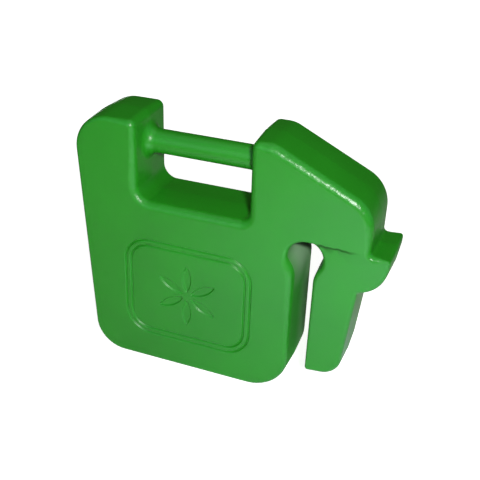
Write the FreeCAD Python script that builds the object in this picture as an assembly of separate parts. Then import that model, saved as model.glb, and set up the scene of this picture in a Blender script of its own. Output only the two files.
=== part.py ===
"""Rear weight for a tractor: one grey-iron casting that hooks on a weight bracket.

The weight is a slab that stands on edge, with X along its length, Y across its thickness and Z up.
A horn and a shoulder rise at its two ends, and a round hand bar bridges the notch between them.
A slot, closed at its top by a round pocket, parts a leg from the body. The leg hangs behind the
bracket's rail, and the lug on the leg's outer side stands over the next rail.
The two halves of the mould part at mid-thickness and draw along Y, so every wall but the ground
base leans inwards from the parting plane to the two flat faces. Lengths are in millimetres, angles
in degrees. Outline sizes are those at the flat faces, before their edges are rounded.
"""
import FreeCAD, Part
import math
import os

# Whole slab
thickness = 59.0
height = 231.1
draft = 2.0
edge_round = 4.3
edge_steps = 4

# Rear side, horn and notch
rear_lean = 3.2
rear_top_round = 31.0
rear_foot_round = 28.8
horn_foot = 44.3
horn_tip_round = 6.0
notch_width = 100.8
notch_depth = 70.5
notch_round = 12.6

# Hand bar
bar_diameter = 20.7
bar_drop = 26.2
bar_flare = 8.0

# Shoulder
shoulder_flat = 17.8
shoulder_slope = 25.7
shoulder_brow_round = 22.0
shoulder_nose_round = 30.2

# Slot with its pocket
body_length = 185.5
front_foot_round = 36.0
slot_width = 16.2
pocket_radius = 14.8
pocket_height = 138.8
pocket_blend = 22.0
crease_rise = 1.3

# Leg and lug
neck_width = 43.4
leg_root_width = 36.9
leg_root_height = 117.2
leg_root_round = 2.6
leg_tip_width = 28.3
leg_tip_height = 31.3
leg_tip_round = 17.7
leg_recess = 0.9
lug_height = 32.2
lug_reach = 16.2
lug_under_slope = 20.6
lug_end_flat = 0.2
small_round = 4.8

# Ornament sunk in the front face
panel_width = 119.5
panel_height = 98.8
panel_round = 24.0
panel_from_rear = 91.5
panel_middle = 77.4
groove_width = 2.6
groove_depth = 0.9
groove_pitch = 5.2
petal_count = 6
petal_length = 27.0
petal_width = 8.4
petal_depth = 0.9
petal_gap = 3.6

# Smallest round left in a corner, and the distance at which two ends count as one point
least_round = 0.3
touching = 1e-4

# Values that follow from the sizes above
half = thickness / 2
lean = math.radians(draft)
growth = half * math.tan(lean)
rear_top = -height * math.tan(math.radians(rear_lean))
notch_end = horn_foot + notch_width
notch_floor = height - notch_depth
slot_middle = body_length + slot_width / 2
leg_inner = body_length + slot_width
leg_root = leg_inner + leg_root_width
neck_front = leg_inner + neck_width
lug_end = neck_front + lug_reach
lug_top = leg_root_height + lug_height
bar_radius = bar_diameter / 2
bar_height = height - bar_drop
crease = pocket_height + pocket_radius + crease_rise


def straight_side(start, end, shift):
    """A side of the outline as (point, direction), moved to its left by shift."""
    length = math.dist(start, end)
    along = ((end[0] - start[0]) / length, (end[1] - start[1]) / length)
    return (start[0] - along[1] * shift, start[1] + along[0] * shift), along


def crossing(first, second):
    """The point where two sides, each as (point, direction), cross."""
    (px, pz), (dx, dz) = first
    (qx, qz), (ex, ez) = second
    reach = ((qx - px) * ez - (qz - pz) * ex) / (dx * ez - dz * ex)
    return px + dx * reach, pz + dz * reach


def turn_between(before, leaving):
    """The angle by which the outline turns from one side to the next, left turns counted positive."""
    (ax, az), (bx, bz) = before[1], leaving[1]
    return math.atan2(ax * bz - az * bx, ax * bx + az * bz)


def fitted(corners):
    """The corners, each (x, z, radius), with a round that overruns a side cut down to fit it."""
    points = [corner[:2] for corner in corners]
    ends = points[1:] + points[:1]
    sides = [straight_side(start, end, 0.0) for start, end in zip(points, ends)]
    reaches = [corner[2] * math.tan(abs(turn_between(sides[index - 1], sides[index])) / 2)
               for index, corner in enumerate(corners)]
    shares = [min(1.0, math.dist(start, end) / (first + second))
              for start, end, first, second in zip(points, ends, reaches, reaches[1:] + reaches[:1])]
    return [(x, z, radius * min(shares[index - 1], shares[index]))
            for index, (x, z, radius) in enumerate(corners)]


def corner_arc(before, leaving, radius, level):
    """Start, middle and end of the arc that joins two sides with a radius."""
    (ax, az), (bx, bz) = before[1], leaving[1]
    x, z = crossing(before, leaving)
    half_turn = abs(turn_between(before, leaving)) / 2
    reach = radius * math.tan(half_turn)
    inward = (radius / math.cos(half_turn) - radius) / math.hypot(bx - ax, bz - az)
    points = [(x - ax * reach, z - az * reach),
              (x + (bx - ax) * inward, z + (bz - az) * inward),
              (x + bx * reach, z + bz * reach)]
    return [FreeCAD.Vector(px, level, pz) for px, pz in points]


def rounded_wire(corners, shift, level):
    """A closed wire at depth level through rounded corners, each given as (x, z, radius).

    The corners run clockwise. The sides move outwards by shift, and the arcs keep their centres.
    """
    sides = [straight_side(start[:2], end[:2], shift)
             for start, end in zip(corners, corners[1:] + corners[:1])]
    arcs = []
    for index, corner in enumerate(corners):
        before, leaving = sides[index - 1], sides[index]
        outward = turn_between(before, leaving) < 0
        grown = corner[2] + shift if outward else corner[2] - shift
        arcs.append(corner_arc(before, leaving, max(grown, least_round), level))
    edges = []
    for arc, following in zip(arcs, arcs[1:] + arcs[:1]):
        edges.append(Part.Arc(*arc).toShape())
        if arc[2].distanceToPoint(following[0]) > touching:
            edges.append(Part.makeLine(arc[2], following[0]))
    return Part.Wire(edges)


def pocket_corners():
    """Corners of the slot's closed end, from the leg's wall over the pocket to the body's wall.

    A blend arc and the pocket's circle touch on the line between their centres.
    """
    across = slot_width / 2 + pocket_blend
    down = math.sqrt((pocket_radius + pocket_blend) ** 2 - across ** 2)
    half_turn = math.atan2(down, across) / 2
    blend_z = pocket_height - down + pocket_blend * math.tan(half_turn)
    side_z = pocket_height - pocket_radius * math.tan(half_turn)
    top_z = pocket_height + pocket_radius
    left, right = slot_middle - pocket_radius, slot_middle + pocket_radius
    return [(leg_inner, blend_z, pocket_blend),
            (right, side_z, pocket_radius),
            (right, top_z, pocket_radius),
            (left, top_z, pocket_radius),
            (left, side_z, pocket_radius),
            (body_length, blend_z, pocket_blend)]


def lug_corners():
    """Corners of the lug. One arc joins the flat of its end face to the slope of its underside."""
    slope = math.radians(lug_under_slope)
    foot = leg_root_height + (lug_end - leg_root) * math.tan(slope)
    arc_rise = lug_top - small_round - lug_end_flat - foot
    under_round = arc_rise / math.tan((math.pi / 2 - slope) / 2)
    return [(neck_front, lug_top, small_round),
            (lug_end, lug_top, small_round),
            (lug_end, foot, under_round)]


def outline_corners():
    """Corners of the whole outline, clockwise as the front face is seen."""
    slope_run = neck_front - notch_end - shoulder_flat
    nose = height - slope_run * math.tan(math.radians(shoulder_slope))
    top = [(rear_top, height, rear_top_round),
           (horn_foot, height, horn_tip_round),
           (horn_foot, notch_floor, notch_round),
           (notch_end, notch_floor, notch_round),
           (notch_end, height, horn_tip_round),
           (notch_end + shoulder_flat, height, shoulder_brow_round),
           (neck_front, nose, shoulder_nose_round)]
    leg = [(leg_root, leg_root_height, leg_root_round),
           (leg_inner + leg_tip_width, leg_tip_height, leg_tip_round),
           (leg_inner, leg_tip_height, small_round)]
    base = [(body_length, 0.0, front_foot_round),
            (0.0, 0.0, rear_foot_round)]
    return fitted(top + lug_corners() + leg + pocket_corners() + base)


def edge_section(depth):
    """The wall's section from the parting plane to a face at depth, as pairs of shift and depth.

    The wall leans by the draft, and a round of even steps joins it to the face.
    """
    centre_depth = depth - edge_round
    centre_shift = (half - centre_depth) * math.tan(lean) - edge_round / math.cos(lean)
    section = [(growth, 0.0)]
    for step in range(edge_steps + 1):
        angle = lean + (math.pi / 2 - lean) * step / edge_steps
        section.append((centre_shift + edge_round * math.cos(angle),
                        centre_depth + edge_round * math.sin(angle)))
    return section


def half_slab(depth):
    """The front half, from the parting plane to a face at depth, with its base ground flat."""
    corners = outline_corners()
    wires = [rounded_wire(corners, shift, -out) for shift, out in edge_section(depth)]
    below = Part.makeBox(lug_end - rear_top, half, height, FreeCAD.Vector(rear_top, -half, -height))
    return Part.makeLoft(wires, True, True).cut(below)


def leg_region():
    """The space below the crease from the slot outwards. Its top leans as the crease's step does."""
    drop = leg_recess + least_round
    rise = edge_round
    beyond = half + rise
    profile = [(-beyond, crease + rise), (drop - half, crease - drop), (beyond, crease - drop),
               (beyond, -rise), (-beyond, -rise)]
    points = [FreeCAD.Vector(slot_middle, y, z) for y, z in profile]
    face = Part.Face(Part.makePolygon(points + points[:1]))
    return face.extrude(FreeCAD.Vector(lug_end + rise - slot_middle, 0, 0))


def half_body():
    """The front half with the leg and lug set back from the body's face."""
    region = leg_region()
    body = half_slab(half).cut(region)
    leg = half_slab(half - leg_recess).common(region)
    return body.fuse(leg).removeSplitter()


def half_bar():
    """The front half of the hand bar, with its ends inside the horn and the shoulder."""
    start = horn_foot - edge_round
    length = notch_width + 2 * edge_round
    bar = Part.makeCylinder(bar_radius, length, FreeCAD.Vector(start, 0, bar_height),
                            FreeCAD.Vector(1, 0, 0))
    front = Part.makeBox(length, bar_diameter, bar_diameter,
                         FreeCAD.Vector(start, -bar_diameter, bar_height - bar_radius))
    return bar.common(front)


def half_casting():
    """The front half with its half of the hand bar, flared where it meets horn and shoulder.

    The flare stays clear of the round at the horn's tip.
    """
    joined = half_body().fuse(half_bar()).removeSplitter()
    roots = [edge for edge in joined.Edges
             if abs(edge.BoundBox.ZLength - bar_diameter) < growth
             and abs(edge.BoundBox.YLength - bar_radius) < growth]
    flare_room = bar_drop - bar_radius - horn_tip_round - growth - least_round
    return joined.makeFillet(min(bar_flare, flare_room), roots)


def panel_wire(inset, level):
    """The ornament's outline, a rounded rectangle, moved inwards by inset."""
    left, right = panel_from_rear - panel_width / 2, panel_from_rear + panel_width / 2
    low, high = panel_middle - panel_height / 2, panel_middle + panel_height / 2
    corners = [(left, high, panel_round), (right, high, panel_round),
               (right, low, panel_round), (left, low, panel_round)]
    return rounded_wire(corners, -inset, level)


def panel_groove(inset):
    """A V-shaped border whose outer edge lies inset from the ornament's outline."""
    root = panel_wire(inset + groove_width / 2, groove_depth - half)
    outer = Part.makeLoft([panel_wire(inset, -half), root], True, True)
    inner = Part.makeLoft([panel_wire(inset + groove_width, -half), root], True, True)
    return outer.cut(inner)


def petal(turn):
    """A leaf between two arcs, turned from upright about the rosette's centre."""
    centre = FreeCAD.Vector(panel_from_rear, -half, panel_middle)
    foot = centre + FreeCAD.Vector(0, 0, petal_gap)
    tip = foot + FreeCAD.Vector(0, 0, petal_length)
    belly = [(foot + tip) * 0.5 + FreeCAD.Vector(side * petal_width / 2, 0, 0) for side in (-1, 1)]
    leaf = Part.Wire([Part.Arc(foot, belly[0], tip).toShape(), Part.Arc(tip, belly[1], foot).toShape()])
    tool = Part.Face(leaf).extrude(FreeCAD.Vector(0, petal_depth, 0))
    tool.rotate(centre, FreeCAD.Vector(0, 1, 0), turn)
    return tool


def ornament():
    """The tools that sink the double border and the rosette into the front face."""
    borders = [panel_groove(groove_pitch * index) for index in range(2)]
    petals = [petal(360 * index / petal_count) for index in range(petal_count)]
    return borders + petals


def weight_casting():
    """The whole casting, standing on the ground with the middle of its length over the origin."""
    front = half_casting()
    back = front.mirror(FreeCAD.Vector(0, 0, 0), FreeCAD.Vector(0, 1, 0))
    casting = front.fuse(back).removeSplitter().cut(ornament()).Solids[0]
    casting.translate(FreeCAD.Vector(-casting.BoundBox.Center.x, 0, 0))
    return casting


os.makedirs("parts", exist_ok=True)
weight_casting().exportStep("parts/weight_casting.step")
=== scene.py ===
"""A green painted tractor rear weight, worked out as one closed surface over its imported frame.

The weight stands on edge with X along its length, Y across its thickness and Z up, in metres. Its
outline is given at the flat faces, measured from the rear foot corner. A section with the draft of
the mould and a round is carried along that outline, flat faces close it, a sunk ornament lies in
the front face, and a flared round bar is set into the notch.
"""

import math

import bpy
import numpy as np
from bpy.props import FloatProperty, FloatVectorProperty, IntProperty, PointerProperty
from mathutils import Matrix, Vector
from mathutils.geometry import delaunay_2d_cdt


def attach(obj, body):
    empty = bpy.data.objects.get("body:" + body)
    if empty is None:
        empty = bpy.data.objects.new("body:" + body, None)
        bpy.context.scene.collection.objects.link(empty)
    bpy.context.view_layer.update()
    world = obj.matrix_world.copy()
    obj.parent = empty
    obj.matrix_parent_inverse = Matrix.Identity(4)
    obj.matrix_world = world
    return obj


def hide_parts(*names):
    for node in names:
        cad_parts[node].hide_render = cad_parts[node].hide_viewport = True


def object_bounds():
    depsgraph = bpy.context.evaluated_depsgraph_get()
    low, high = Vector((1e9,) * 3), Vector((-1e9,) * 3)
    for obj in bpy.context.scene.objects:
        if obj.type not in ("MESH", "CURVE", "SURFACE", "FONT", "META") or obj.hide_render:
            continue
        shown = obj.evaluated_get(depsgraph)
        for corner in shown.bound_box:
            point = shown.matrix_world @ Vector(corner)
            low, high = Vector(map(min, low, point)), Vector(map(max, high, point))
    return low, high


bl_info = {
    "name": "Tractor Rear Weight",
    "version": (1, 0, 0),
    "blender": (4, 5, 0),
    "location": "View3D > Sidebar > Rear Weight",
    "description": "Builds a painted cast iron tractor rear weight on its stage",
    "category": "Add Mesh",
}

NODE = "weight_casting"
# Name of the point attribute with three shares: the edge round's, painted shade with painted
# shadow, and the slot's dullness with pale dust and a painted reflection.
EDGE_SHADE_DUST = "wear"
TRIANGLES_INSIDE = 1
CLOSE = 1e-7

# Numbers of the outline's corners at the neck's top and foot, and at the lug's top corner.
NECK_TOP, NECK_FOOT, LUG_CORNER = 6, 7, 8

# How closely the points lie: numbers of points, and steps in metres or radians.
ROUND_POINTS, WALL_STEPS, FLARE_RINGS, RING_POINTS = 12, 8, 11, 64
TURN_STEP, SIDE_STEP, NECK_STEP = math.radians(3.0), 0.005, 0.0004
FACE_STEP, CREASE_STEPS, RIDGE_STEP = 0.006, (0.0007, 0.0004), 0.0012
# Plain strips kept along a face's rim, round the ornament and beside the parting plane, and how far
# a wall is opened below and above the bar.
FACE_MARGIN, PANEL_MARGIN, PARTING_BAND = 0.0006, 0.002, 0.0006
OPEN_BELOW, OPEN_ABOVE = 0.0062, 0.0055
# Heights from the crease between which the fine points lie, and the coarse ones are left out.
FINE_BAND, CLEAR_BAND = (-0.0038, 0.0010), (-0.0055, 0.0025)

# The crease's waves: height, radians in a metre, and start.
CREASE_WAVES = ((0.00030, 410.0, 0.0), (0.00018, 930.0, 1.3))

# Each pair below holds the places where a share is 0 and where it is 1.
# Along x from the slot's middle: the crease's start, its deeper part and its stretch to the neck.
CREASE_START, DEEP_ALONG, STRETCH_ALONG = (0.0, 0.003), (0.050, 0.010), (0.022, 0.038)
# Down from the crease: its deeper part. The stretch is added to its height, as a share of it.
DEEP_BELOW, STRETCH = (0.025, 0.0), 3
# The painted shade along the crease: half its width at the neck and by the pocket, its share of
# painted shade, the place of its middle in half widths, where it widens and ends, and its fade
# across.
LINE_REACHES, LINE_SHADE, LINE_MIDDLE = (0.0015, 0.0025), 0.75, 0.9
LINE_WIDENS, LINE_ENDS, LINE_ACROSS = (0.030, 0.012), (0.045, 0.032), (1.0, 0.5)
# The pocket's painted shadow: off the slot's middle, across its edge, and that edge's fall to the
# back.
SHADOW_ASIDE, SHADOW_EDGE, SHADOW_FALL = (0.018, 0.016), (0.0025, -0.0010), 0.62
# The slot's dull paint, pale dust and painted reflection: below which height, how far off the
# slot's middle, and at which height it turns pale. The pale dust and painted reflection grow to the
# back, at the top and lower down, in shares of half the thickness.
SLOT_TOP, SLOT_ASIDE, PALE_HEIGHT = 0.165, (0.026, 0.021), (0.098, 0.128)
TOP_PALE, LOW_PALE, LOW_SHARE = (-1.3, -0.1), (-0.4, 0.8), 0.7
# Wear up to DULL dulls the paint, and more lays pale dust and a painted reflection on it. A wall
# that faces out bears none.
DULL, FACING_IN = 0.5, (0.5, 0.15)
# The rise of the lug's top: along x from the neck, and up from the lug's top.
RISE_ALONG, RISE_ABOVE, RISE_UNDER = (-0.018, -0.008), (0.022, 0.006), (-0.026, -0.004)

# The mottle of the paint: the slow noise's range, and the scales of colour and roughness for it.
MOTTLE, TONES, SHEENS = (0.3, 0.7), (0.94, 1.06), (0.9, 1.15)

# The point that the lamps face, and the diameter and place of those that don't go with the camera.
LIT_POINT = Vector((0.0, 0.0, 0.11))
FRONT_LAMP = (1.6, (-0.4, -2.0, 1.0))
TOP_LAMP = (1.2, (0.0, 0.0, 1.3))
BACK_LAMP = (0.45, (-1.3, 1.9, 0.25))
# Half the floor's side, the distances between which its glow grows, and the way and the share of it
# over which the room's glow fades.
FLOOR_REACH, NEAR_AND_FAR = 8.0, (0.15, 0.90)
BACKWARDS, BACK_FADE = (-0.5, 1.0, 0.0), (0.0, 0.4)
SENSOR_WIDTH, CLIP_START = 36.0, 0.01
COLUMN, ROW = 180, -200

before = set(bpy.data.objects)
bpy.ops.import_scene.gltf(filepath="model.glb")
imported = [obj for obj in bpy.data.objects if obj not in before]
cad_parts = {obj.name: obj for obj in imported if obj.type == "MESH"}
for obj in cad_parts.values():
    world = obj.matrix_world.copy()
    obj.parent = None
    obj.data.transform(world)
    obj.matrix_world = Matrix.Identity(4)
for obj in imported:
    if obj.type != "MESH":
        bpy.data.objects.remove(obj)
cad_box = [list(corner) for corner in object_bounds()]


def length(name, description, default):
    """A property for a length in metres."""
    return FloatProperty(name=name, description=description, default=default, unit="LENGTH",
                         precision=4)


def angle(name, description, degrees):
    """A property for an angle, given in degrees and kept in radians."""
    return FloatProperty(name=name, description=description, default=math.radians(degrees),
                         subtype="ANGLE", unit="ROTATION")


def factor(name, description, default):
    """A property for a share or a plain number."""
    return FloatProperty(name=name, description=description, default=default, precision=3)


def power(name, description, default):
    """A property for a lamp's power in watts."""
    return FloatProperty(name=name, description=description, default=default, unit="POWER")


def position(name, description, default):
    """A property for a place or a shift in metres."""
    return FloatVectorProperty(name=name, description=description, default=default, size=3,
                               unit="LENGTH", subtype="TRANSLATION")


def colour(name, description, default):
    """A property for a linear colour."""
    return FloatVectorProperty(name=name, description=description, default=default, size=3,
                               subtype="COLOR", min=0.0, max=1.0)


class RearWeightSlab(bpy.types.PropertyGroup):
    """Sizes of the slab, its notch and its hand bar."""

    thickness: length("Thickness", "Distance between the two flat faces", 0.0590)
    height: length("Height", "From the ground to the top of horn and shoulder", 0.2311)
    front_fall: length("Front Fall", "Fall of the top from back to front", 0.0021)
    draft: angle("Draft", "Lean of every wall from the parting plane inwards", 2.0)
    edge_round: length("Edge Round", "Radius between a wall and a flat face", 0.0043)
    top_edge_round: length("Top Edge Round", "Radius in front, at top, notch and slot", 0.0075)
    rear_lean: angle("Rear Lean", "Lean of the rear side from upright", 3.2)
    rear_top_round: length("Rear Top Round", "Radius of the rear top corner", 0.0310)
    rear_foot_round: length("Rear Foot Round", "Radius of the rear foot corner", 0.0288)
    front_foot_round: length("Front Foot Round", "Radius of the front foot corner", 0.0360)
    body_length: length("Body Length", "From the rear foot corner to the slot", 0.1855)
    horn_foot: length("Horn", "From the rear foot corner to the notch", 0.0443)
    horn_tip_round: length("Horn Tip Round", "Radius at the top of the notch's walls", 0.0060)
    notch_width: length("Notch Width", "Between horn and shoulder", 0.1008)
    notch_depth: length("Notch Depth", "From the top down to the notch's floor", 0.0705)
    notch_round: length("Notch Round", "Radius at the foot of the horn's wall", 0.0126)
    far_notch_round: length("Far Notch Round", "Radius at the shoulder's wall's foot", 0.0080)
    bar_diameter: length("Bar Diameter", "Diameter of the hand bar", 0.0207)
    bar_drop: length("Bar Drop", "From the top down to the bar's axis", 0.0262)
    bar_flare: length("Bar Flare", "Radius where the bar meets horn and shoulder", 0.0080)
    shoulder_flat: length("Shoulder Flat", "Length of the shoulder's level top", 0.0178)
    shoulder_slope: angle("Shoulder Slope", "Fall of the shoulder's top towards the lug", 25.7)
    shoulder_brow_round: length("Brow Round", "Radius at the start of the slope", 0.0220)
    shoulder_nose_round: length("Nose Round", "Radius at the end of the slope", 0.0302)


class RearWeightLeg(bpy.types.PropertyGroup):
    """Sizes of the slot with its pocket, and of the leg with its lug."""

    slot_width: length("Slot Width", "Between body and leg", 0.0162)
    pocket_radius: length("Pocket Radius", "Radius of the slot's round closed end", 0.0148)
    pocket_height: length("Pocket Height", "From the ground to the pocket's centre", 0.1388)
    pocket_blend: length("Pocket Blend", "Radius between slot walls and pocket", 0.0220)
    crease_rise: length("Crease Rise", "From the pocket's top up to the crease", 0.0025)
    crease_fall: angle("Crease Fall", "Fall of the crease from the pocket to the neck", 0.8)
    crease_height: length("Crease Height", "Height of the step beside the pocket", 0.0030)
    crease_extra: length("Crease Extra", "Added depth of the step beside the pocket", 0.0015)
    neck_width: length("Neck Width", "From the slot to the shoulder's front wall", 0.0434)
    root_width: length("Leg Root Width", "Width of the leg under the lug", 0.0369)
    root_height: length("Leg Root Height", "From the ground to the leg's root", 0.1172)
    root_round: length("Leg Root Round", "Radius between lug and leg", 0.0026)
    tip_width: length("Leg Tip Width", "Width of the leg at its tip", 0.0283)
    tip_height: length("Leg Tip Height", "From the ground to the leg's tip", 0.0313)
    tip_round: length("Leg Tip Round", "Radius of the leg's outer tip corner", 0.0177)
    recess: length("Leg Recess", "Set-back of the leg's faces", 0.0009)
    lug_height: length("Lug Height", "From the leg's root to the lug's top", 0.0322)
    lug_reach: length("Lug Reach", "From the shoulder's front wall to the lug's end", 0.0162)
    lug_under_slope: angle("Lug Under Slope", "Rise of the lug's underside", 20.6)
    lug_end_flat: length("Lug End Flat", "Straight part of the lug's end face", 0.0002)
    lug_rise: length("Lug Rise", "Rise of the lug's top from back to front", 0.0039)
    small_round: length("Small Round", "Radius between lug and neck", 0.0036)
    tip_corner_round: length("Tip Corner Round", "Radius of lug's top and leg's inner tip", 0.0026)


class RearWeightOrnament(bpy.types.PropertyGroup):
    """Sizes of the double border and the rosette sunk in the front face."""

    width: length("Width", "Length of the ornament along the weight", 0.1195)
    height: length("Height", "Height of the ornament", 0.0988)
    corner_round: length("Corner Round", "Radius of the border's corners", 0.0240)
    from_rear: length("From Rear", "From the rear foot corner to the ornament's middle", 0.0915)
    middle: length("Middle", "From the ground to the ornament's middle", 0.0774)
    groove_width: length("Groove Width", "Width of a border groove", 0.0026)
    groove_depth: length("Groove Depth", "Depth of a border groove", 0.0016)
    groove_pitch: length("Groove Pitch", "Distance between the two grooves", 0.0052)
    petal_count: IntProperty(name="Petals", description="Number of leaves", default=6)
    petal_length: length("Petal Length", "Length of a leaf", 0.0270)
    petal_width: length("Petal Width", "Width of a leaf", 0.0084)
    petal_depth: length("Petal Depth", "Depth of a leaf", 0.0014)
    petal_gap: length("Petal Gap", "From the rosette's centre to a leaf's foot", 0.0036)
    petal_wall: length("Petal Wall", "Width of a leaf's sloping wall", 0.0009)
    margin: length("Margin", "Plain rim kept round the ornament", 0.0030)
    step: length("Grid Step", "Distance between the points of the ornament's surface", 0.0005)


class RearWeightPaint(bpy.types.PropertyGroup):
    """Look of the gloss paint over sand-cast iron."""

    green: colour("Green", "Colour of the paint", (0.018, 0.300, 0.012))
    roughness: factor("Roughness", "Roughness of the paint film", 0.33)
    skin_height: length("Skin Height", "Height of the sand-cast skin under the paint", 0.00010)
    edge_height: length("Edge Height", "Height added to that skin on the edge rounds", 0.00040)
    skin_pitch: length("Skin Pitch", "Size of the grains of that skin", 0.0040)
    wave_height: length("Wave Height", "Height of the casting's slow waves", 0.00030)
    wave_pitch: length("Wave Pitch", "Length of those waves", 0.0600)
    # Share of the colour left where the painted shade of the crease and the painted shadow under
    # the pocket's roof are darkest.
    painted_shade: factor("Grime", "Share of the colour left where grime lies thickest", 0.22)
    slot_roughness: factor("Slot Roughness", "Roughness of the paint on the slot's walls", 0.95)
    # Pale colour of the slot's walls: partly dust, partly a painted reflection of the lit floor
    # behind.
    dust_and_reflection: colour("Dust", "Colour of the paint where dust lies on it", (0.260, 0.480, 0.260))


class RearWeightStage(bpy.types.PropertyGroup):
    """Camera, lamps and floor."""

    lens: FloatProperty(name="Lens", description="Focal length", default=57.14, unit="CAMERA")
    azimuth: angle("Azimuth", "Turn of the camera round the weight from the front", 19.92)
    elevation: angle("Elevation", "Height of the camera above the horizon", 28.34)
    roll: angle("Roll", "Turn of the camera about its own axis", 2.25)
    camera: position("Camera", "Place of the camera", (0.19952, -0.54125, 0.43738))
    lamp_power: power("Lamp Power", "Power of the lamp behind the camera", 7.5)
    lamp_size: length("Lamp Size", "Diameter of that lamp", 0.10)
    lamp_reach: factor("Lamp Reach", "Distance of that lamp, in camera distances", 1.4)
    lamp_shift: position("Lamp Shift", "Shift of it off the camera's line", (0.10, 0.0, 0.06))
    front_power: power("Front Power", "Power of the wide lamp in front", 7.0)
    front_tint: colour("Front Tint", "Tint of that lamp", (0.70, 0.85, 1.00))
    top_power: power("Top Power", "Power of the wide lamp overhead", 1.25)
    back_power: power("Back Power", "Power of the low lamp behind the weight", 17.0)
    room: colour("Room Light", "Light of the room above the floor", (0.040, 0.040, 0.020))
    room_glow: factor("Room Glow", "Glow of the room in front that the paint mirrors", 0.60)
    floor: factor("Floor", "Grey level of the floor", 0.90)
    near_glow: factor("Near Glow", "Glow that lifts the floor to white by the weight", 0.86)
    far_glow: factor("Far Glow", "Glow that lifts the floor to white far from it", 1.00)
    pool_glow: factor("Pool Glow", "Glow of the pool of floor that the paint mirrors", 2.0)
    pool_tint: colour("Pool Tint", "Tint of that pool", (0.55, 0.75, 1.00))
    pool_reach: length("Pool Reach", "Radius of that pool", 0.50)
    pool: position("Pool", "Middle of that pool", (0.22, -0.34, 0.0))


def weight_outline(slab, leg):
    """Corners of the outline as rows of x, z, radius and edge round, clockwise from the front.

    The rear side leans by height times the tangent of its lean, the slope falls by its run times
    the tangent of its angle, and the arc under the lug takes what its end face leaves between the
    top corner's round and the foot of the underside. An edge round is no larger than the round of
    the outward corner that it goes about.
    """
    edge, wide = slab.edge_round, slab.top_edge_round
    at_tip = min(wide, slab.horn_tip_round)
    at_corner = min(edge, leg.tip_corner_round)
    rear_top = -slab.height * math.tan(slab.rear_lean)
    notch_end = slab.horn_foot + slab.notch_width
    notch_floor = slab.height - slab.notch_depth
    leg_inner = slab.body_length + leg.slot_width
    leg_root = leg_inner + leg.root_width
    neck = leg_inner + leg.neck_width
    lug_end = neck + leg.lug_reach
    lug_top = leg.root_height + leg.lug_height
    nose = slab.height - (neck - notch_end - slab.shoulder_flat) * math.tan(slab.shoulder_slope)
    lug_foot = leg.root_height + (lug_end - leg_root) * math.tan(leg.lug_under_slope)
    under_round = ((lug_top - leg.small_round - leg.lug_end_flat - lug_foot)
                   / math.tan((math.pi / 2 - leg.lug_under_slope) / 2))
    middle = slab.body_length + leg.slot_width / 2
    across = leg.slot_width / 2 + leg.pocket_blend
    down = math.sqrt((leg.pocket_radius + leg.pocket_blend) ** 2 - across ** 2)
    half_turn = math.atan2(down, across) / 2
    blend_z = leg.pocket_height - down + leg.pocket_blend * math.tan(half_turn)
    side_z = leg.pocket_height - leg.pocket_radius * math.tan(half_turn)
    top_z = leg.pocket_height + leg.pocket_radius
    left, right = middle - leg.pocket_radius, middle + leg.pocket_radius
    return np.array([
        (rear_top, slab.height, slab.rear_top_round, edge),
        (slab.horn_foot, slab.height, slab.horn_tip_round, at_tip),
        (slab.horn_foot, notch_floor, slab.notch_round, wide),
        (notch_end, notch_floor, slab.far_notch_round, wide),
        (notch_end, slab.height, slab.horn_tip_round, at_tip),
        (notch_end + slab.shoulder_flat, slab.height, slab.shoulder_brow_round, wide),
        (neck, nose, slab.shoulder_nose_round, wide),
        (neck, lug_top, leg.small_round, (edge + wide) / 2),
        (lug_end, lug_top, leg.tip_corner_round, at_corner),
        (lug_end, lug_foot, under_round, edge),
        (leg_root, leg.root_height, leg.root_round, edge),
        (leg_inner + leg.tip_width, leg.tip_height, leg.tip_round, edge),
        (leg_inner, leg.tip_height, leg.tip_corner_round, at_corner),
        (leg_inner, blend_z, leg.pocket_blend, edge),
        (right, side_z, leg.pocket_radius, edge),
        (right, top_z, leg.pocket_radius, edge),
        (left, top_z, leg.pocket_radius, edge),
        (left, side_z, leg.pocket_radius, edge),
        (slab.body_length, blend_z, leg.pocket_blend, wide),
        (slab.body_length, 0.0, slab.front_foot_round, edge),
        (0.0, 0.0, slab.rear_foot_round, edge),
    ])


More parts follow.
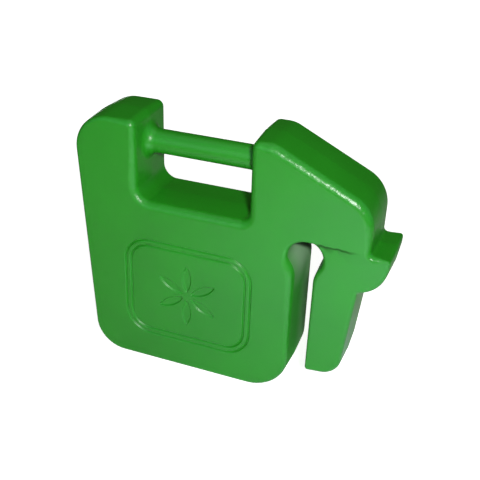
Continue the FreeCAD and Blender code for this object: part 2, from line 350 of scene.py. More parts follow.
def rounded_outline(corners, turn_step, side_steps):
    """Points along a closed outline with round corners, and outward normals and edge rounds there.

    A corner's arc is about the point that lies one radius from both sides. Its points are that
    centre plus the radius times a normal that sweeps evenly from one side's normal to the next,
    with the radius counted negative in a hollow corner. A straight side is divided evenly between
    its arcs, into steps no longer than its entry in side_steps, and the edge round changes smoothly
    along it, or along the arc before it where there is no such side.
    """
    points, radii, edges = corners[:, :2], corners[:, 2], corners[:, 3]
    along = np.roll(points, -1, axis=0) - points
    along /= np.linalg.norm(along, axis=1)[:, None]
    normal = np.stack([-along[:, 1], along[:, 0]], axis=1)
    before = np.roll(normal, 1, axis=0)
    facing = (before * normal).sum(axis=1)
    turn = np.arctan2(before[:, 0] * normal[:, 1] - before[:, 1] * normal[:, 0], facing)
    reach = -np.sign(turn) * radii
    centre = points - reach[:, None] * (before + normal) / (1 + facing)[:, None]
    rows, normals, rounds = [], [], []
    for index in range(len(corners)):
        count = max(2, math.ceil(abs(turn[index]) / turn_step)) + 1
        start = math.atan2(before[index, 1], before[index, 0])
        sweep = start + turn[index] * np.linspace(0, 1, count)
        swept = np.stack([np.cos(sweep), np.sin(sweep)], axis=1)
        following = (index + 1) % len(corners)
        arc = centre[index] + reach[index] * swept
        end = centre[following] + reach[following] * before[following]
        gap = np.linalg.norm(end - arc[-1])
        if gap < CLOSE:
            arc, swept = arc[:-1], swept[:-1]
        inner = np.linspace(0, 1, max(1, math.ceil(gap / side_steps[index])) + 1)[1:-1, None]
        rows += [arc, arc[-1:] * (1 - inner) + end * inner]
        normals += [swept, np.repeat(normal[index:index + 1], len(inner), axis=0)]
        within_arc = np.linspace(0, float(gap < CLOSE), len(arc))[:, None]
        for share in (smooth(0, 1, within_arc), smooth(0, 1, inner)):
            rounds.append(edges[index] * (1 - share) + edges[following] * share)
    return np.concatenate(rows), np.concatenate(normals), np.concatenate(rounds)


def smooth(low, high, value):
    """Smooth step: 0 at low, 1 at high, with level ends."""
    share = np.clip((value - low) / (high - low), 0.0, 1.0)
    return share * share * (3 - 2 * share)


def slope_of(field, *point):
    """Slope of a field along each of its coordinates, from points a little to each side."""
    nudge = 0.00015
    slopes = []
    for axis in range(len(point)):
        ahead, behind = list(point), list(point)
        ahead[axis], behind[axis] = point[axis] + nudge, point[axis] - nudge
        slopes.append((field(*ahead) - field(*behind)) / (2 * nudge))
    return slopes


def lifted_normals(field, points, normals):
    """Normals of a surface whose points move up by a field.

    The field's slope, times the normal's upright part over one plus the field's upright slope, is
    taken off the normal.
    """
    rise = np.stack(slope_of(field, *np.moveaxis(points, -1, 0)), axis=-1)
    return normals - rise * (normals[..., 2:] / (1 + rise[..., 2:]))


def half_section(slab, edge):
    """Shift, distance from the parting plane and lean of the normal, from a face to that plane.

    The round is an arc that starts level with the face and ends where it touches the drafted wall.
    The wall runs on straight to the parting plane and stands out there by its lean. The edge round
    is given as a column with one row for each point of the outline.
    """
    half, lean = slab.thickness / 2, slab.draft
    sweep = np.linspace(math.pi / 2, lean, ROUND_POINTS)
    shift = edge * (math.tan(lean) - 1 / math.cos(lean) + np.cos(sweep))
    depth = half - edge * (1 - np.sin(sweep))
    shares = np.linspace(1, 0, WALL_STEPS + 1)[1:-1]
    wall = np.hstack([depth[:, -1:] * shares,
                      np.broadcast_to((PARTING_BAND, 0.0), (len(edge), 2))])
    wall_shift = (half - wall) * math.tan(lean)
    return (np.hstack([shift, wall_shift]), np.hstack([depth, wall]),
            np.append(sweep, [lean] * WALL_STEPS + [0.0]))


def ring_edges(start, count):
    """Edges that join a run of point numbers in a ring."""
    numbers = np.arange(count)
    return (start + np.stack([numbers, (numbers + 1) % max(count, 1)], axis=1)).tolist()


def plane_fill(outer, inner, loose):
    """Triangles between two loops in a plane, as rows of numbers of outer, inner, loose points."""
    points = np.concatenate([outer, inner, loose])
    edges = ring_edges(0, len(outer)) + ring_edges(len(outer), len(inner))
    _, _, faces, sources, _, _ = delaunay_2d_cdt(
        [Vector(point) for point in points.tolist()], edges, [], TRIANGLES_INSIDE, CLOSE)
    first = np.array([source[0] for source in sources])
    faces = first[np.array(faces)]
    middles = points[faces].mean(axis=1)
    keep = inside_loop(middles, outer, 0.0)
    if len(inner):
        keep &= ~inside_loop(middles, inner, 0.0)
    return faces[keep]


def inside_loop(points, loop, margin):
    """Which points lie inside a closed loop, and more than a margin from its sides.

    A point is inside where a level ray from it crosses the loop an odd number of times. The place
    nearest to it on a side is at the share of the side that its offset along the side gives.
    """
    x, z = points[:, :1], points[:, 1:]
    x0, z0 = loop.T
    side_x, side_z = np.roll(x0, -1) - x0, np.roll(z0, -1) - z0
    spans = (z0 > z) != (np.roll(z0, -1) > z)
    crossed = spans & (x < x0 + (z - z0) * side_x / np.where(side_z == 0, 1.0, side_z))
    share = ((x - x0) * side_x + (z - z0) * side_z) / (side_x ** 2 + side_z ** 2)
    share = np.clip(share, 0, 1)
    near = ((x - x0 - share * side_x) ** 2 + (z - z0 - share * side_z) ** 2).min(axis=1)
    return (crossed.sum(axis=1) % 2 == 1) & (near > margin ** 2)


def ornament_depth(x, z, size):
    """Depth of the ornament below the face, for points measured from its middle.

    The distance inwards from the rounded rectangle's edge gives two grooves, each a cosine dip
    about its middle line. A leaf is where two equal circles overlap, and its wall rises smoothly
    over a short distance inwards from the nearer circle.
    """
    corner_x = np.abs(x) - (size.width / 2 - size.corner_round)
    corner_z = np.abs(z) - (size.height / 2 - size.corner_round)
    outside = np.hypot(np.maximum(corner_x, 0), np.maximum(corner_z, 0))
    inwards = size.corner_round - outside - np.minimum(np.maximum(corner_x, corner_z), 0)
    depth = np.zeros_like(x)
    for index in range(2):
        off = np.abs(inwards - index * size.groove_pitch - size.groove_width / 2)
        dip = np.clip(off / (size.groove_width / 2), 0, 1)
        depth = np.maximum(depth, size.groove_depth * (0.5 + 0.5 * np.cos(math.pi * dip)))
    belly = size.petal_width / 2
    arc = (size.petal_length ** 2 / 4 + belly ** 2) / (2 * belly)
    for index in range(size.petal_count):
        turn = 2 * math.pi * index / size.petal_count
        along = x * math.sin(turn) + z * math.cos(turn) - size.petal_gap - size.petal_length / 2
        aside = np.abs(x * math.cos(turn) - z * math.sin(turn))
        within = arc - np.hypot(along, aside + arc - belly)
        depth = np.maximum(depth, size.petal_depth * smooth(0, size.petal_wall, within))
    return depth


class Surface:
    """Points, normals and faces gathered into one mesh."""

    def __init__(self):
        self.points, self.normals, self.wears, self.faces, self.count = [], [], [], [], 0

    def add_points(self, points, normals, wear=(0.0, 0.0, 0.0)):
        """Adds an array of points with normals and three shares, and returns their numbers.

        The three shares are those of an edge, of painted shade and painted shadow, and of the
        slot's dullness with pale dust and a painted reflection.
        """
        numbers = self.count + np.arange(points[..., 0].size).reshape(points.shape[:-1])
        for rows, values in ((self.points, points), (self.normals, normals), (self.wears, wear)):
            rows.append(np.broadcast_to(values, points.shape).reshape(-1, 3))
        self.count += numbers.size
        return numbers

    def add_faces(self, faces):
        """Adds faces given as an array of point numbers, one row each."""
        self.faces.extend(faces.reshape(-1, faces.shape[-1]).tolist())

    def lift(self, field):
        """Moves every point up by a field of its place, and turns the normals with the surface."""
        points, normals = np.concatenate(self.points), np.concatenate(self.normals)
        self.normals = [lifted_normals(field, points, normals)]
        points[:, 2] += field(*points.T)
        self.points = [points]

    def to_object(self, name, box):
        """An object with the gathered mesh, clipped to a box and shaded by the given normals."""
        mesh = bpy.data.meshes.new(name)
        mesh.from_pydata(np.clip(np.concatenate(self.points), *box), [], self.faces)
        mesh.shade_smooth()
        normals = np.concatenate(self.normals)
        normals = normals / np.linalg.norm(normals, axis=1)[:, None]
        mesh.normals_split_custom_set_from_vertices(normals)
        wear = mesh.attributes.new(EDGE_SHADE_DUST, "FLOAT_VECTOR", "POINT")
        wear.data.foreach_set("vector", np.concatenate(self.wears).astype(np.float32).ravel())
        made = bpy.data.objects.new(name, mesh)
        bpy.context.scene.collection.objects.link(made)
        return made


def quads(numbers):
    """Quads between the rows and columns of an array of point numbers."""
    return np.stack([numbers[:-1, :-1], numbers[1:, :-1], numbers[1:, 1:], numbers[:-1, 1:]],
                    axis=-1)


def border(numbers):
    """The numbers along the border of an array of them, once round."""
    return np.concatenate([numbers[:-1, 0], numbers[-1, :-1], numbers[:0:-1, -1],
                           numbers[0, :0:-1]])


class WeightBuilder:
    """Works out the casting's surface from its sizes."""

    def __init__(self, slab, leg, ornament):
        self.slab, self.leg, self.ornament = slab, leg, ornament
        self.half = slab.thickness / 2
        self.lean = math.tan(slab.draft)
        self.corners = weight_outline(slab, leg)
        self.offset = cad_box[1][0] - self.corners[LUG_CORNER, 0] - self.half * self.lean
        self.slot_middle = slab.body_length + leg.slot_width / 2 + self.offset
        self.neck = self.corners[NECK_FOOT, 0] + self.offset
        self.pocket_top = leg.pocket_height + leg.pocket_radius
        self.crease = self.pocket_top + leg.crease_rise
        self.surface = Surface()

    def from_crease(self, x, z):
        """Distances from the slot's middle along x, and down from the crease.

        The crease falls evenly along x and waves by the sum of two sines.
        """
        along = x - self.slot_middle
        wave = sum(height * np.sin(x * rate + start) for height, rate, start in CREASE_WAVES)
        return along, self.crease + wave - along * math.tan(self.leg.crease_fall) - z

    def set_back(self, x, z):
        """Depth by which a flat face is set back: nothing above the crease, the recess below it.

        The depth grows smoothly over the height of the step, which is four times as high at the
        neck, and over a short run from the slot's middle. Beside the pocket the step is deeper, by
        an extra depth that fades out towards the neck and down the leg.
        """
        leg = self.leg
        along, below = self.from_crease(x, z)
        extra = leg.crease_extra * smooth(*DEEP_ALONG, along) * smooth(*DEEP_BELOW, below)
        height = leg.crease_height * (1 + STRETCH * smooth(*STRETCH_ALONG, along))
        return (leg.recess + extra) * smooth(0.0, height, below) * smooth(*CREASE_START, along)

    def crease_shade(self, x, z):
        """Share of painted shade along the crease: a line, widest by the pocket, gone before the
        neck.
        """
        along, below = self.from_crease(x, z)
        narrow, wide = LINE_REACHES
        reach = narrow + (wide - narrow) * smooth(*LINE_WIDENS, along)
        line = smooth(*LINE_ACROSS, np.abs(below - LINE_MIDDLE * reach) / reach)
        return LINE_SHADE * line * smooth(*CREASE_START, along) * smooth(*LINE_ENDS, along)

    def painted_pocket_shadow(self, x, y, z):
        """Share of painted shadow under the pocket's roof: it reaches lower the further back it
        lies.
        """
        below = self.pocket_top - z - SHADOW_FALL * (y + self.half)
        near = smooth(*SHADOW_ASIDE, np.abs(x - self.slot_middle)) * (z < SLOT_TOP)
        return near * smooth(*SHADOW_EDGE, below)

    def slot_dull_dust_reflection(self, x, y, z):
        """Share of dull paint, pale dust and painted reflection on the slot's walls.

        The pale dust and painted reflection lie up round the pocket, and less of them down the
        walls. They grow from front to back.
        """
        near = smooth(*SLOT_ASIDE, np.abs(x - self.slot_middle)) * (z < SLOT_TOP)
        back = y / self.half
        pale_dust_reflection = np.maximum(smooth(*PALE_HEIGHT, z) * smooth(*TOP_PALE, back),
                           LOW_SHARE * smooth(*LOW_PALE, back))
        return near * (DULL + (1 - DULL) * pale_dust_reflection)

    def raised(self, x, y, z):
        """Height by which the casting is raised at a point: the lug's top slopes up to the front.

        The rise is full at the lug's top, fades up the neck, down the lug's end and in behind the
        neck, and falls evenly to nothing from the front face to the back face.
        """
        above = z - self.corners[NECK_FOOT, 1]
        near = smooth(*RISE_ALONG, x - self.neck)
        level = smooth(*RISE_ABOVE, above) * smooth(*RISE_UNDER, above)
        return self.leg.lug_rise * near * level * (0.5 - y / self.slab.thickness)

    def rim(self):
        """The walls and rounds: the section carried along the outline, from front to back.

        A point is the outline's point plus the section's shift times the outline's normal. The wide
        rounds are those of the front. The leg's set-back lowers the round and fades to nothing at
        the parting plane, and what would reach below the ground is level with it.
        """
        side_steps = np.full(len(self.corners), SIDE_STEP)
        side_steps[NECK_TOP] = NECK_STEP
        flat, outward, edge = rounded_outline(self.corners, TURN_STEP, side_steps)
        flat[:, 0] += self.offset
        shift, depth, lean = half_section(self.slab, edge)
        back_shift, back_depth, _ = half_section(self.slab, np.minimum(edge, self.slab.edge_round))
        wall_row = int(np.argmax(lean <= self.slab.draft))
        self.wall_rows = (wall_row, 2 * (depth.shape[1] - 1) - wall_row)
        side = np.append(-np.ones(depth.shape[1]), np.ones(depth.shape[1] - 1))
        lean = np.append(lean, lean[-2::-1])
        shift = np.hstack([shift, back_shift[:, -2::-1]])
        depth = np.hstack([depth, back_depth[:, -2::-1]])
        x = flat[:, :1] + shift * outward[:, :1]
        y = side * depth
        z = flat[:, 1:] + shift * outward[:, 1:]
        normals = np.stack([np.cos(lean) * outward[:, :1],
                            np.broadcast_to(side * np.sin(lean), x.shape),
                            np.cos(lean) * outward[:, 1:]], axis=-1)
        normals = lifted_normals(self.raised, np.stack([x, y, z], axis=-1), normals)
        z = z + self.raised(x, y, z)
        slope_x, slope_z = slope_of(self.set_back, x, z)
        slopes = np.stack([slope_x, np.zeros_like(x), slope_z], axis=-1)
        normals += slopes * np.sin(lean)[:, None]
        inwards = np.clip(depth / (self.half - self.slab.edge_round), 0, 1)
        y = y - side * self.set_back(x, z) * inwards
        normals[z < 0.0] = (0.0, 0.0, -1.0)
        self.rim_points = np.stack([x, y, np.maximum(z, 0.0)], axis=-1)
        facing = np.broadcast_to(np.sin(lean), x.shape)
        inside = smooth(*FACING_IN, facing)
        # Painted shade along the crease, and a painted shadow under the pocket's roof.
        dark = self.crease_shade(x, z) * facing + self.painted_pocket_shadow(x, y, z) * inside
        # Dull paint on the slot's walls, and above DULL pale dust with a painted reflection. The
        # painted shade is dulled too.
        dull_and_pale = np.maximum(self.slot_dull_dust_reflection(x, y, z) * inside, DULL * dark)
        wear = np.stack([np.broadcast_to(np.sin(2 * lean), x.shape), dark, dull_and_pale], axis=-1)
        self.rim_numbers = self.surface.add_points(self.rim_points, normals, wear)

    def flat_face(self, column, side, inner, inner_numbers, loose):
        """Fills a flat face inside a column of the rim, round an inner ring if it has one."""
        x, z = loose.T
        slope_x, slope_z = slope_of(self.set_back, x, z)
        points = np.stack([x, side * (self.half - self.set_back(x, z)), z], axis=-1)
        normals = np.stack([slope_x, np.full(len(loose), side), slope_z], axis=-1)
        # Painted shade along the crease, which also dulls the paint there.
        wear = self.crease_shade(x, z)[:, None] * (0.0, 1.0, DULL)
        numbers = np.concatenate([self.rim_numbers[:, column], inner_numbers,
                                  self.surface.add_points(points, normals, wear)])
        faces = numbers[plane_fill(self.rim_points[:, column][:, [0, 2]], inner, loose)]
        self.surface.add_faces(faces if side < 0 else faces[:, ::-1])

    def loose_points(self, column, panel):
        """Points spread over a face: a coarse grid, and a fine one along the crease."""
        ring = self.rim_points[:, column][:, [0, 2]]
        low, high = ring.min(axis=0), ring.max(axis=0)
        band, clear = self.crease + np.array(FINE_BAND), self.crease + np.array(CLEAR_BAND)
        coarse = np.meshgrid(*(np.arange(low[axis], high[axis], FACE_STEP) for axis in (0, 1)))
        grid = np.stack([values.ravel() for values in coarse], axis=1)
        near = (grid[:, 0] > self.slot_middle) & (grid[:, 1] > clear[0]) & (grid[:, 1] < clear[1])
        fine = np.meshgrid(np.arange(self.slot_middle, high[0], CREASE_STEPS[0]),
                           np.arange(*band, CREASE_STEPS[1]))
        fine = np.stack([values.ravel() for values in fine], axis=1)
        spread = np.concatenate([grid[~near], fine])
        keep = inside_loop(spread, ring, FACE_MARGIN)
        if panel is not None:
            start, end = np.array(panel).T
            keep &= ~((spread > start - PANEL_MARGIN) & (spread < end + PANEL_MARGIN)).all(axis=1)
        return spread[keep]

    def front_face(self):
        """The ornament's grid, and the flat face round it."""
        size = self.ornament
        wide, tall = size.width / 2 + size.margin, size.height / 2 + size.margin
        across = np.linspace(-wide, wide, round(2 * wide / size.step) + 1)
        upright = np.linspace(-tall, tall, round(2 * tall / size.step) + 1)
        x, z = np.meshgrid(across, upright, indexing="ij")
        depth = ornament_depth(x, z, size)
        slope_x, slope_z = np.gradient(depth, across, upright)
        middle_x = size.from_rear + self.offset
        points = np.stack([x + middle_x, depth - self.half, z + size.middle], axis=-1)
        normals = np.stack([slope_x, -np.ones_like(x), slope_z], axis=-1)
        numbers = self.surface.add_points(points, normals)
        self.surface.add_faces(quads(numbers))
        ring = border(numbers)
        flat = points.reshape(-1, 3)[ring - numbers[0, 0]][:, [0, 2]]
        panel = ((middle_x - wide, middle_x + wide), (size.middle - tall, size.middle + tall))
        self.flat_face(0, -1, flat, ring, self.loose_points(0, panel))

    def back_face(self):
        """The plain back face."""
        self.flat_face(-1, 1, np.zeros((0, 2)), np.zeros(0, int), self.loose_points(-1, None))

    def bar(self):
        """The hand bar as rings about its axis, from the horn's wall to the shoulder's wall.

        Along a flare the distance from the wall is the flare's radius times one minus the sine of
        an angle, and the ring's radius grows by the flare's radius times one minus its cosine. The
        last ring lies on the drafted wall, so the walls' lean fades in along the flare.
        """
        slab = self.slab
        left = slab.horn_foot + self.offset
        right = left + slab.notch_width
        sweep = np.linspace(math.pi / 2, 0, FLARE_RINGS)[:, None]
        turn = np.arange(RING_POINTS) * (2 * math.pi / RING_POINTS)
        ring = slab.bar_diameter / 2 + slab.bar_flare * (1 - np.cos(sweep))
        y = ring * np.cos(turn)
        z = slab.height - slab.bar_drop + ring * np.sin(turn)
        from_wall = ((self.half - np.abs(y) * np.sin(sweep)) * self.lean
                     + slab.bar_flare * (1 - np.sin(sweep)))
        rings = []
        for wall, way in ((left, 1.0), (right, -1.0)):
            normals = np.stack([np.broadcast_to(way * np.sin(sweep), y.shape),
                                np.cos(sweep) * np.cos(turn), np.cos(sweep) * np.sin(turn)],
                               axis=-1)
            rings.append((np.stack([wall + way * from_wall, y, z], axis=-1), normals))
        (near, near_normals), (far, far_normals) = rings
        points = np.concatenate([near, far[::-1]])
        numbers = self.surface.add_points(points,
                                          np.concatenate([near_normals, far_normals[::-1]]))
        closed = np.concatenate([numbers, numbers[:, :1]], axis=1)
        self.surface.add_faces(quads(closed)[..., ::-1])
        self.bar_ends = ((left, 1.0, points[0], numbers[0]),
                         (right, -1.0, points[-1], numbers[-1]))

    def walls_round_bar(self):
        """Opens the notch's walls round the bar and fills them again up to the bar's last rings.

        Between the ring and the rim's grid the wall is the same pair of drafted planes, so a
        point's distance from the outline is what is left of the half thickness times the lean.
        """
        points, numbers = self.rim_points, self.rim_numbers
        first_row, last_row = self.wall_rows
        open_cells = np.zeros((len(points), points.shape[1] - 1), bool)
        x, _, height = points[:, (points.shape[1] - 1) // 2].T
        for wall, way, ring, ring_numbers in self.bar_ends:
            on_wall = np.abs(x - wall - way * self.half * self.lean) < CLOSE * 10
            low, high = ring[:, 2].min(), ring[:, 2].max()
            rows = np.flatnonzero(on_wall & (height > low - OPEN_BELOW)
                                  & (height < high + OPEN_ABOVE))
            start, end = rows.min(), rows.max()
            open_cells[start:end, first_row:last_row] = True
            edge = border(numbers[start:end + 1, first_row:last_row + 1])
            rim = points.reshape(-1, 3)[edge - numbers[0, 0]]
            ridge = np.arange(rim[:, 2].min() + RIDGE_STEP, rim[:, 2].max() - PARTING_BAND,
                              RIDGE_STEP)
            ridge = ridge[np.abs(ridge - (low + high) / 2) > (high - low) / 2 + PARTING_BAND]
            y = np.repeat((-PARTING_BAND, 0.0, PARTING_BAND), len(ridge))
            z = np.tile(ridge, 3)
            wall_x = wall + way * (self.half - np.abs(y)) * self.lean
            normals = np.stack([np.full(len(y), way * math.cos(self.slab.draft)),
                                np.sign(y) * math.sin(self.slab.draft), np.zeros(len(y))], axis=-1)
            inner = self.surface.add_points(np.stack([wall_x, y, z], axis=-1), normals)
            numbered = np.concatenate([edge, ring_numbers, inner])
            faces = numbered[plane_fill(rim[:, 1:], ring[:, 1:], np.stack([y, z], axis=1))]
            self.surface.add_faces(faces if way > 0 else faces[:, ::-1])
        closed = np.concatenate([numbers, numbers[:1]])
        self.surface.add_faces(quads(closed)[~open_cells])

    def lowered(self, x, y, z):
        """Height by which a point moves as the casting gets lower towards its front face.

        It grows in proportion to the height, and as the square of the way from back to front.
        """
        slab = self.slab
        return -slab.front_fall * (z / slab.height) * (0.5 - y / slab.thickness) ** 2

    def build(self):
        """The whole casting as one object, kept inside the frame's own box."""
        self.rim()
        self.front_face()
        self.back_face()
        self.surface.lift(self.lowered)
        self.rim_points[..., 2] += self.lowered(*np.moveaxis(self.rim_points, -1, 0))
        self.bar()
        self.walls_round_bar()
        return self.surface.to_object("painted_casting", cad_box)


def emptied_tree(data):
    """The node tree of a new material or world, emptied."""
    data.use_nodes = True
    data.node_tree.nodes.clear()
    return data.node_tree


def node(tree, kind, inputs=(), **settings):
    """A new shader node with its settings made, laid out to the right of those before it.

    Each of its inputs is given a plain value, or a node and the name of that node's output.
    """
    made = tree.nodes.new("ShaderNode" + kind)
    made.location = (COLUMN * len(tree.nodes), ROW * (len(tree.nodes) % 3))
    for name, value in settings.items():
        setattr(made, name, value)
    for name, value in dict(inputs).items():
        if isinstance(value, tuple) and isinstance(value[0], bpy.types.Node):
            tree.links.new(value[0].outputs[value[1]], made.inputs[name])
        else:
            made.inputs[name].default_value = value
    return made


def arithmetic(tree, operation, *inputs):
    """The output of a math node whose inputs are given in their order."""
    return node(tree, "Math", enumerate(inputs), operation=operation), "Value"


def map_range(tree, value, start, end, kind="LINEAR"):
    """The output of a node that carries a value from one range, given by its ends, to another."""
    names = ("Value", "From Min", "From Max", "To Min", "To Max")
    inputs = zip(names, (value, *start, *end))
    return node(tree, "MapRange", inputs, interpolation_type=kind), "Result"


def gloss_paint(paint):
    """The gloss green paint over the relief of a sand-cast skin.

    The relief adds up a fine noise, which is higher on the edge rounds, and a slow one, which also
    gives colour and sheen a slight mottle. The slot's walls are dull, and pale where dust and a
    painted reflection lie. A painted shade darkens the crease, and a painted shadow the pocket's
    roof.
    """
    material = bpy.data.materials.new("Gloss Green Paint")
    tree = emptied_tree(material)
    place = (node(tree, "TexCoord"), "Object")
    wear = node(tree, "Attribute", attribute_name=EDGE_SHADE_DUST)
    shares = node(tree, "SeparateXYZ", {"Vector": (wear, "Vector")})
    skin = node(tree, "TexNoise", {"Vector": place, "Scale": 1 / paint.skin_pitch, "Detail": 2.0,
                                   "Roughness": 0.45})
    wave = node(tree, "TexNoise", {"Vector": place, "Scale": 1 / paint.wave_pitch, "Detail": 1.0})
    reach = arithmetic(tree, "MULTIPLY_ADD", (shares, "X"), paint.edge_height, paint.skin_height)
    lift = arithmetic(tree, "MULTIPLY", (skin, "Fac"), reach)
    relief = arithmetic(tree, "MULTIPLY_ADD", (wave, "Fac"), paint.wave_height, lift)
    bump = node(tree, "Bump", {"Strength": 1.0, "Distance": 1.0, "Height": relief})
    tone = map_range(tree, (wave, "Fac"), MOTTLE, TONES)
    shade = node(tree, "VectorMath", {0: paint.green, "Scale": tone}, operation="SCALE")
    # Pale dust with a painted reflection on the slot's walls.
    pale_dust_reflection = map_range(tree, (shares, "Z"), (DULL, 1.0), (0.0, 1.0))
    pale = node(tree, "MixRGB", {"Fac": pale_dust_reflection, "Color1": (shade, "Vector"),
                                 "Color2": (*paint.dust_and_reflection, 1.0)})
    # Painted shade along the crease and painted shadow under the pocket's roof darken the colour.
    dark = map_range(tree, (shares, "Y"), (0.0, 1.0), (1.0, paint.painted_shade))
    painted_shaded = node(tree, "VectorMath", {0: (pale, "Color"), "Scale": dark}, operation="SCALE")
    sheen = map_range(tree, (wave, "Fac"), MOTTLE, [paint.roughness * share for share in SHEENS])
    dull = map_range(tree, (shares, "Z"), (0.0, DULL), (0.0, 1.0))
    rough = arithmetic(tree, "MULTIPLY_ADD", dull, paint.slot_roughness - paint.roughness, sheen)
    film = node(tree, "BsdfPrincipled", {"IOR": 1.5, "Base Color": (painted_shaded, "Vector"),
                                         "Roughness": rough, "Normal": (bump, "Normal")})
    node(tree, "OutputMaterial", {"Surface": (film, "BSDF")})
    return material


def floor_finish(stage):
    """A pale matt floor that glows a little where it is seen or mirrored.

    The glow that is seen grows with the distance from the weight, so that the weight's own shadow
    stays. The glow that is mirrored is a soft pool.
    """
    material = bpy.data.materials.new("Pale Floor")
    tree = emptied_tree(material)
    light = node(tree, "LightPath")
    place = (node(tree, "TexCoord"), "Object")
    off = node(tree, "VectorMath", {0: place}, operation="LENGTH")
    off_pool = node(tree, "VectorMath", {0: place, 1: stage.pool}, operation="DISTANCE")
    seen = map_range(tree, (off, "Value"), NEAR_AND_FAR, (stage.near_glow, stage.far_glow),
                     "SMOOTHSTEP")
    pool = map_range(tree, (off_pool, "Value"), (0.0, stage.pool_reach), (stage.pool_glow, 0.0),
                     "SMOOTHSTEP")
    mirrored = arithmetic(tree, "ADD", (light, "Is Glossy Ray"), (light, "Is Transmission Ray"))
    seen_share = arithmetic(tree, "MULTIPLY", (light, "Is Camera Ray"), seen)
    pool_share = arithmetic(tree, "MULTIPLY", mirrored, pool)
    seen_glow = node(tree, "Emission", {"Strength": seen_share})
    pool_glow = node(tree, "Emission", {"Color": (*stage.pool_tint, 1.0), "Strength": pool_share})
    glow = node(tree, "AddShader", {0: (seen_glow, 0), 1: (pool_glow, 0)})
    matt = node(tree, "BsdfDiffuse", {"Color": (*[stage.floor] * 3, 1.0)})
    both = node(tree, "AddShader", {0: (glow, 0), 1: (matt, 0)})
    node(tree, "OutputMaterial", {"Surface": (both, 0)})
    return material


def room_world(stage):
    """The room above the floor: dim light, white where it is seen, and a glow for the paint.

    The paint mirrors that glow. It fades out as a direction's y less half its x grows, so nothing
    is mirrored from behind.
    """
    world = bpy.data.worlds.new("Room")
    tree = emptied_tree(world)
    light = node(tree, "LightPath")
    way = node(tree, "TexCoord")
    behind = node(tree, "VectorMath", {0: (way, "Generated"), 1: BACKWARDS},
                  operation="DOT_PRODUCT")
    fade = map_range(tree, (behind, "Value"), BACK_FADE, (stage.room_glow, 0.0), "SMOOTHSTEP")
    share = arithmetic(tree, "MULTIPLY", fade, (light, "Is Glossy Ray"))
    dim = node(tree, "Background", {"Color": (*stage.room, 1.0)})
    mirrored = node(tree, "Background", {"Color": (*stage.pool_tint, 1.0), "Strength": share})
    both = node(tree, "AddShader", {0: (dim, 0), 1: (mirrored, 0)})
    seen = node(tree, "Background", {"Color": (1.0, 1.0, 1.0, 1.0)})
    chosen = node(tree, "MixShader", {0: (light, "Is Camera Ray"), 1: (both, 0), 2: (seen, 0)})
    node(tree, "OutputWorld", {"Surface": (chosen, 0)})
    return world


def add_lamp(name, watts, size, place, tint=(1.0, 1.0, 1.0)):
    """A round soft lamp at a place, turned towards the lit point."""
    data = bpy.data.lights.new(name, "AREA")
    data.shape = "DISK"
    data.energy = watts
    data.size = size
    data.color = tint
    lamp = bpy.data.objects.new(name, data)
    lamp.location = place
    lamp.rotation_euler = (LIT_POINT - Vector(place)).to_track_quat("-Z", "Y").to_euler()
    bpy.context.scene.collection.objects.link(lamp)
    return lamp


def add_camera(stage):
    """The camera at the photograph's angle: its axes come from azimuth, elevation and roll."""
    a, e, r = stage.azimuth, stage.elevation, stage.roll
    back = Vector((math.sin(a) * math.cos(e), -math.cos(a) * math.cos(e), math.sin(e)))
    level = Vector((math.cos(a), math.sin(a), 0.0))
    upright = back.cross(level)
    right = level * math.cos(r) + upright * math.sin(r)
    up = upright * math.cos(r) - level * math.sin(r)
    data = bpy.data.cameras.new("Camera")
    data.lens = stage.lens
    data.sensor_width = SENSOR_WIDTH
    data.clip_start = CLIP_START
    camera = bpy.data.objects.new("Camera", data)
    turned = Matrix((right, up, back)).transposed()
    camera.matrix_world = Matrix.Translation(stage.camera) @ turned.to_4x4()
    bpy.context.scene.collection.objects.link(camera)
    bpy.context.scene.camera = camera


class REARWEIGHT_OT_casting(bpy.types.Operator):
    """Build the painted casting over the frame's plain one"""

    bl_idname = "rear_weight.casting"
    bl_label = "Painted Casting"

    def execute(self, context):
        scene = context.scene
        casting = WeightBuilder(scene.rear_weight_slab, scene.rear_weight_leg,
                                scene.rear_weight_ornament).build()
        casting.data.materials.append(gloss_paint(scene.rear_weight_paint))
        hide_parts(NODE)
        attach(casting, "root")
        return {"FINISHED"}


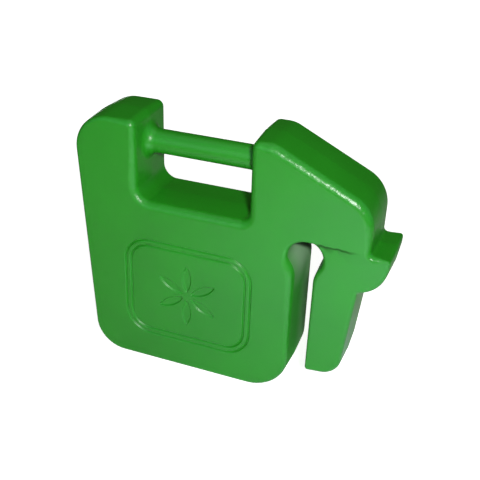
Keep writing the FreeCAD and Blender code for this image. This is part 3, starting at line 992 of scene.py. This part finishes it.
class REARWEIGHT_OT_stage(bpy.types.Operator):
    """Lay the floor, set the lamps and place the camera"""

    bl_idname = "rear_weight.stage"
    bl_label = "Stage"

    def execute(self, context):
        scene = context.scene
        stage = scene.rear_weight_stage
        mesh = bpy.data.meshes.new("floor")
        corners = ((-1, -1), (1, -1), (1, 1), (-1, 1))
        mesh.from_pydata([(x * FLOOR_REACH, y * FLOOR_REACH, 0) for x, y in corners], [],
                         [(0, 1, 2, 3)])
        floor = bpy.data.objects.new("floor", mesh)
        floor.data.materials.append(floor_finish(stage))
        scene.collection.objects.link(floor)
        away = (Vector(stage.camera) - LIT_POINT) * stage.lamp_reach
        add_lamp("Lamp", stage.lamp_power, stage.lamp_size,
                 LIT_POINT + away + Vector(stage.lamp_shift))
        front = add_lamp("Front Lamp", stage.front_power, *FRONT_LAMP, stage.front_tint)
        front.visible_diffuse = False
        add_lamp("Top Lamp", stage.top_power, *TOP_LAMP)
        back = add_lamp("Back Lamp", stage.back_power, *BACK_LAMP)
        back.visible_glossy = False
        scene.world = room_world(stage)
        add_camera(stage)
        scene.view_settings.view_transform = "Standard"
        return {"FINISHED"}


class REARWEIGHT_PT_panel(bpy.types.Panel):
    """Sizes, looks and buttons of the rear weight"""

    bl_idname = "REARWEIGHT_PT_panel"
    bl_label = "Rear Weight"
    bl_space_type = "VIEW_3D"
    bl_region_type = "UI"
    bl_category = "Rear Weight"

    def draw(self, context):
        for title, name, _ in GROUPS:
            group = getattr(context.scene, name)
            box = self.layout.box()
            box.label(text=title)
            for setting in group.bl_rna.properties.keys():
                if setting not in {"rna_type", "name"}:
                    box.prop(group, setting)
        for operator in (REARWEIGHT_OT_casting, REARWEIGHT_OT_stage):
            self.layout.operator(operator.bl_idname)


GROUPS = (("Slab", "rear_weight_slab", RearWeightSlab),
          ("Leg", "rear_weight_leg", RearWeightLeg),
          ("Ornament", "rear_weight_ornament", RearWeightOrnament),
          ("Paint", "rear_weight_paint", RearWeightPaint),
          ("Stage", "rear_weight_stage", RearWeightStage))
CLASSES = (*(group for _, _, group in GROUPS),
           REARWEIGHT_OT_casting, REARWEIGHT_OT_stage, REARWEIGHT_PT_panel)


def register():
    for made in CLASSES:
        bpy.utils.register_class(made)
    for _, name, group in GROUPS:
        setattr(bpy.types.Scene, name, PointerProperty(type=group))


def unregister():
    for _, name, _ in GROUPS:
        delattr(bpy.types.Scene, name)
    for made in reversed(CLASSES):
        bpy.utils.unregister_class(made)


def main():
    register()
    bpy.ops.rear_weight.casting()
    bpy.ops.rear_weight.stage()


if __name__ == "__main__":
    main()
